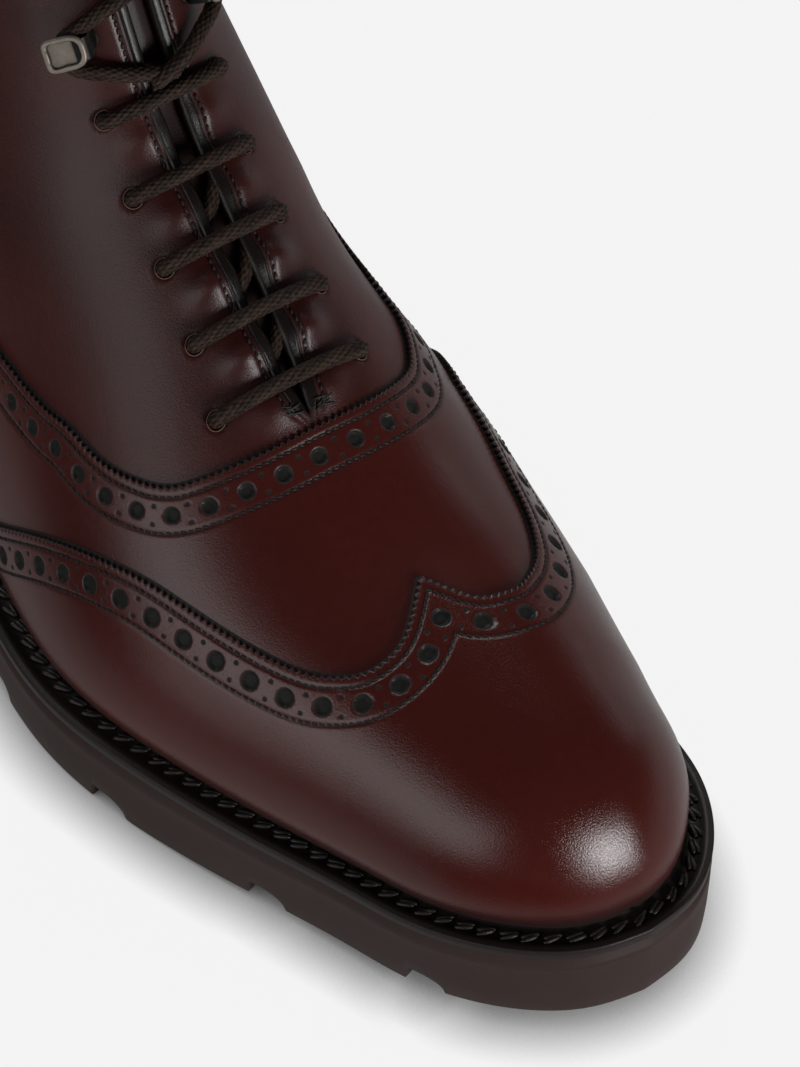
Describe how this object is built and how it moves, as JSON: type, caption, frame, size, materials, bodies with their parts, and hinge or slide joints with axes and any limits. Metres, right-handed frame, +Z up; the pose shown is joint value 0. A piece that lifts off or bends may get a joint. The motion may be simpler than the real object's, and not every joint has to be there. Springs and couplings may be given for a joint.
{
  "type": "brogue ankle boot",
  "caption": "Laced wingtip brogue ankle boot for the right foot: hollow leather upper with wing cap and tongue on a welted rubber sole with side lugs.",
  "frame": {"origin": "on the floor under the middle of the boot's plan", "axes": "toe towards -Y, heel towards +Y, big-toe side towards +X, +Z up"},
  "size_m": [0.1018, 0.2986, 0.1708],
  "materials": {
    "oxblood_leather": "polished dark oxblood calf with a fine grain",
    "insole_leather": "plain tan leather, matt",
    "welt_leather": "near-black brown welt, waxed",
    "sole_rubber": "dark brown moulded rubber, matt",
    "lace_cord": "round woven waxed lace, dark brown",
    "hook_metal": "antique nickel"
  },
  "bodies": {
    "root": {"heel": "sole_rubber", "outsole": "sole_rubber", "welt": "welt_leather", "insole": "insole_leather", "upper": "oxblood_leather", "vamp": "oxblood_leather", "wing_cap": "oxblood_leather", "tongue": "oxblood_leather", "lace_bar_1": "lace_cord", "lace_bar_2": "lace_cord", "lace_bar_3": "lace_cord", "lace_bar_4": "lace_cord", "lace_bar_5": "lace_cord", "lace_top": "lace_cord", "hook_out_1": "hook_metal", "hook_out_2": "hook_metal", "hook_in_1": "hook_metal", "hook_in_2": "hook_metal"}
  },
  "joints": []
}
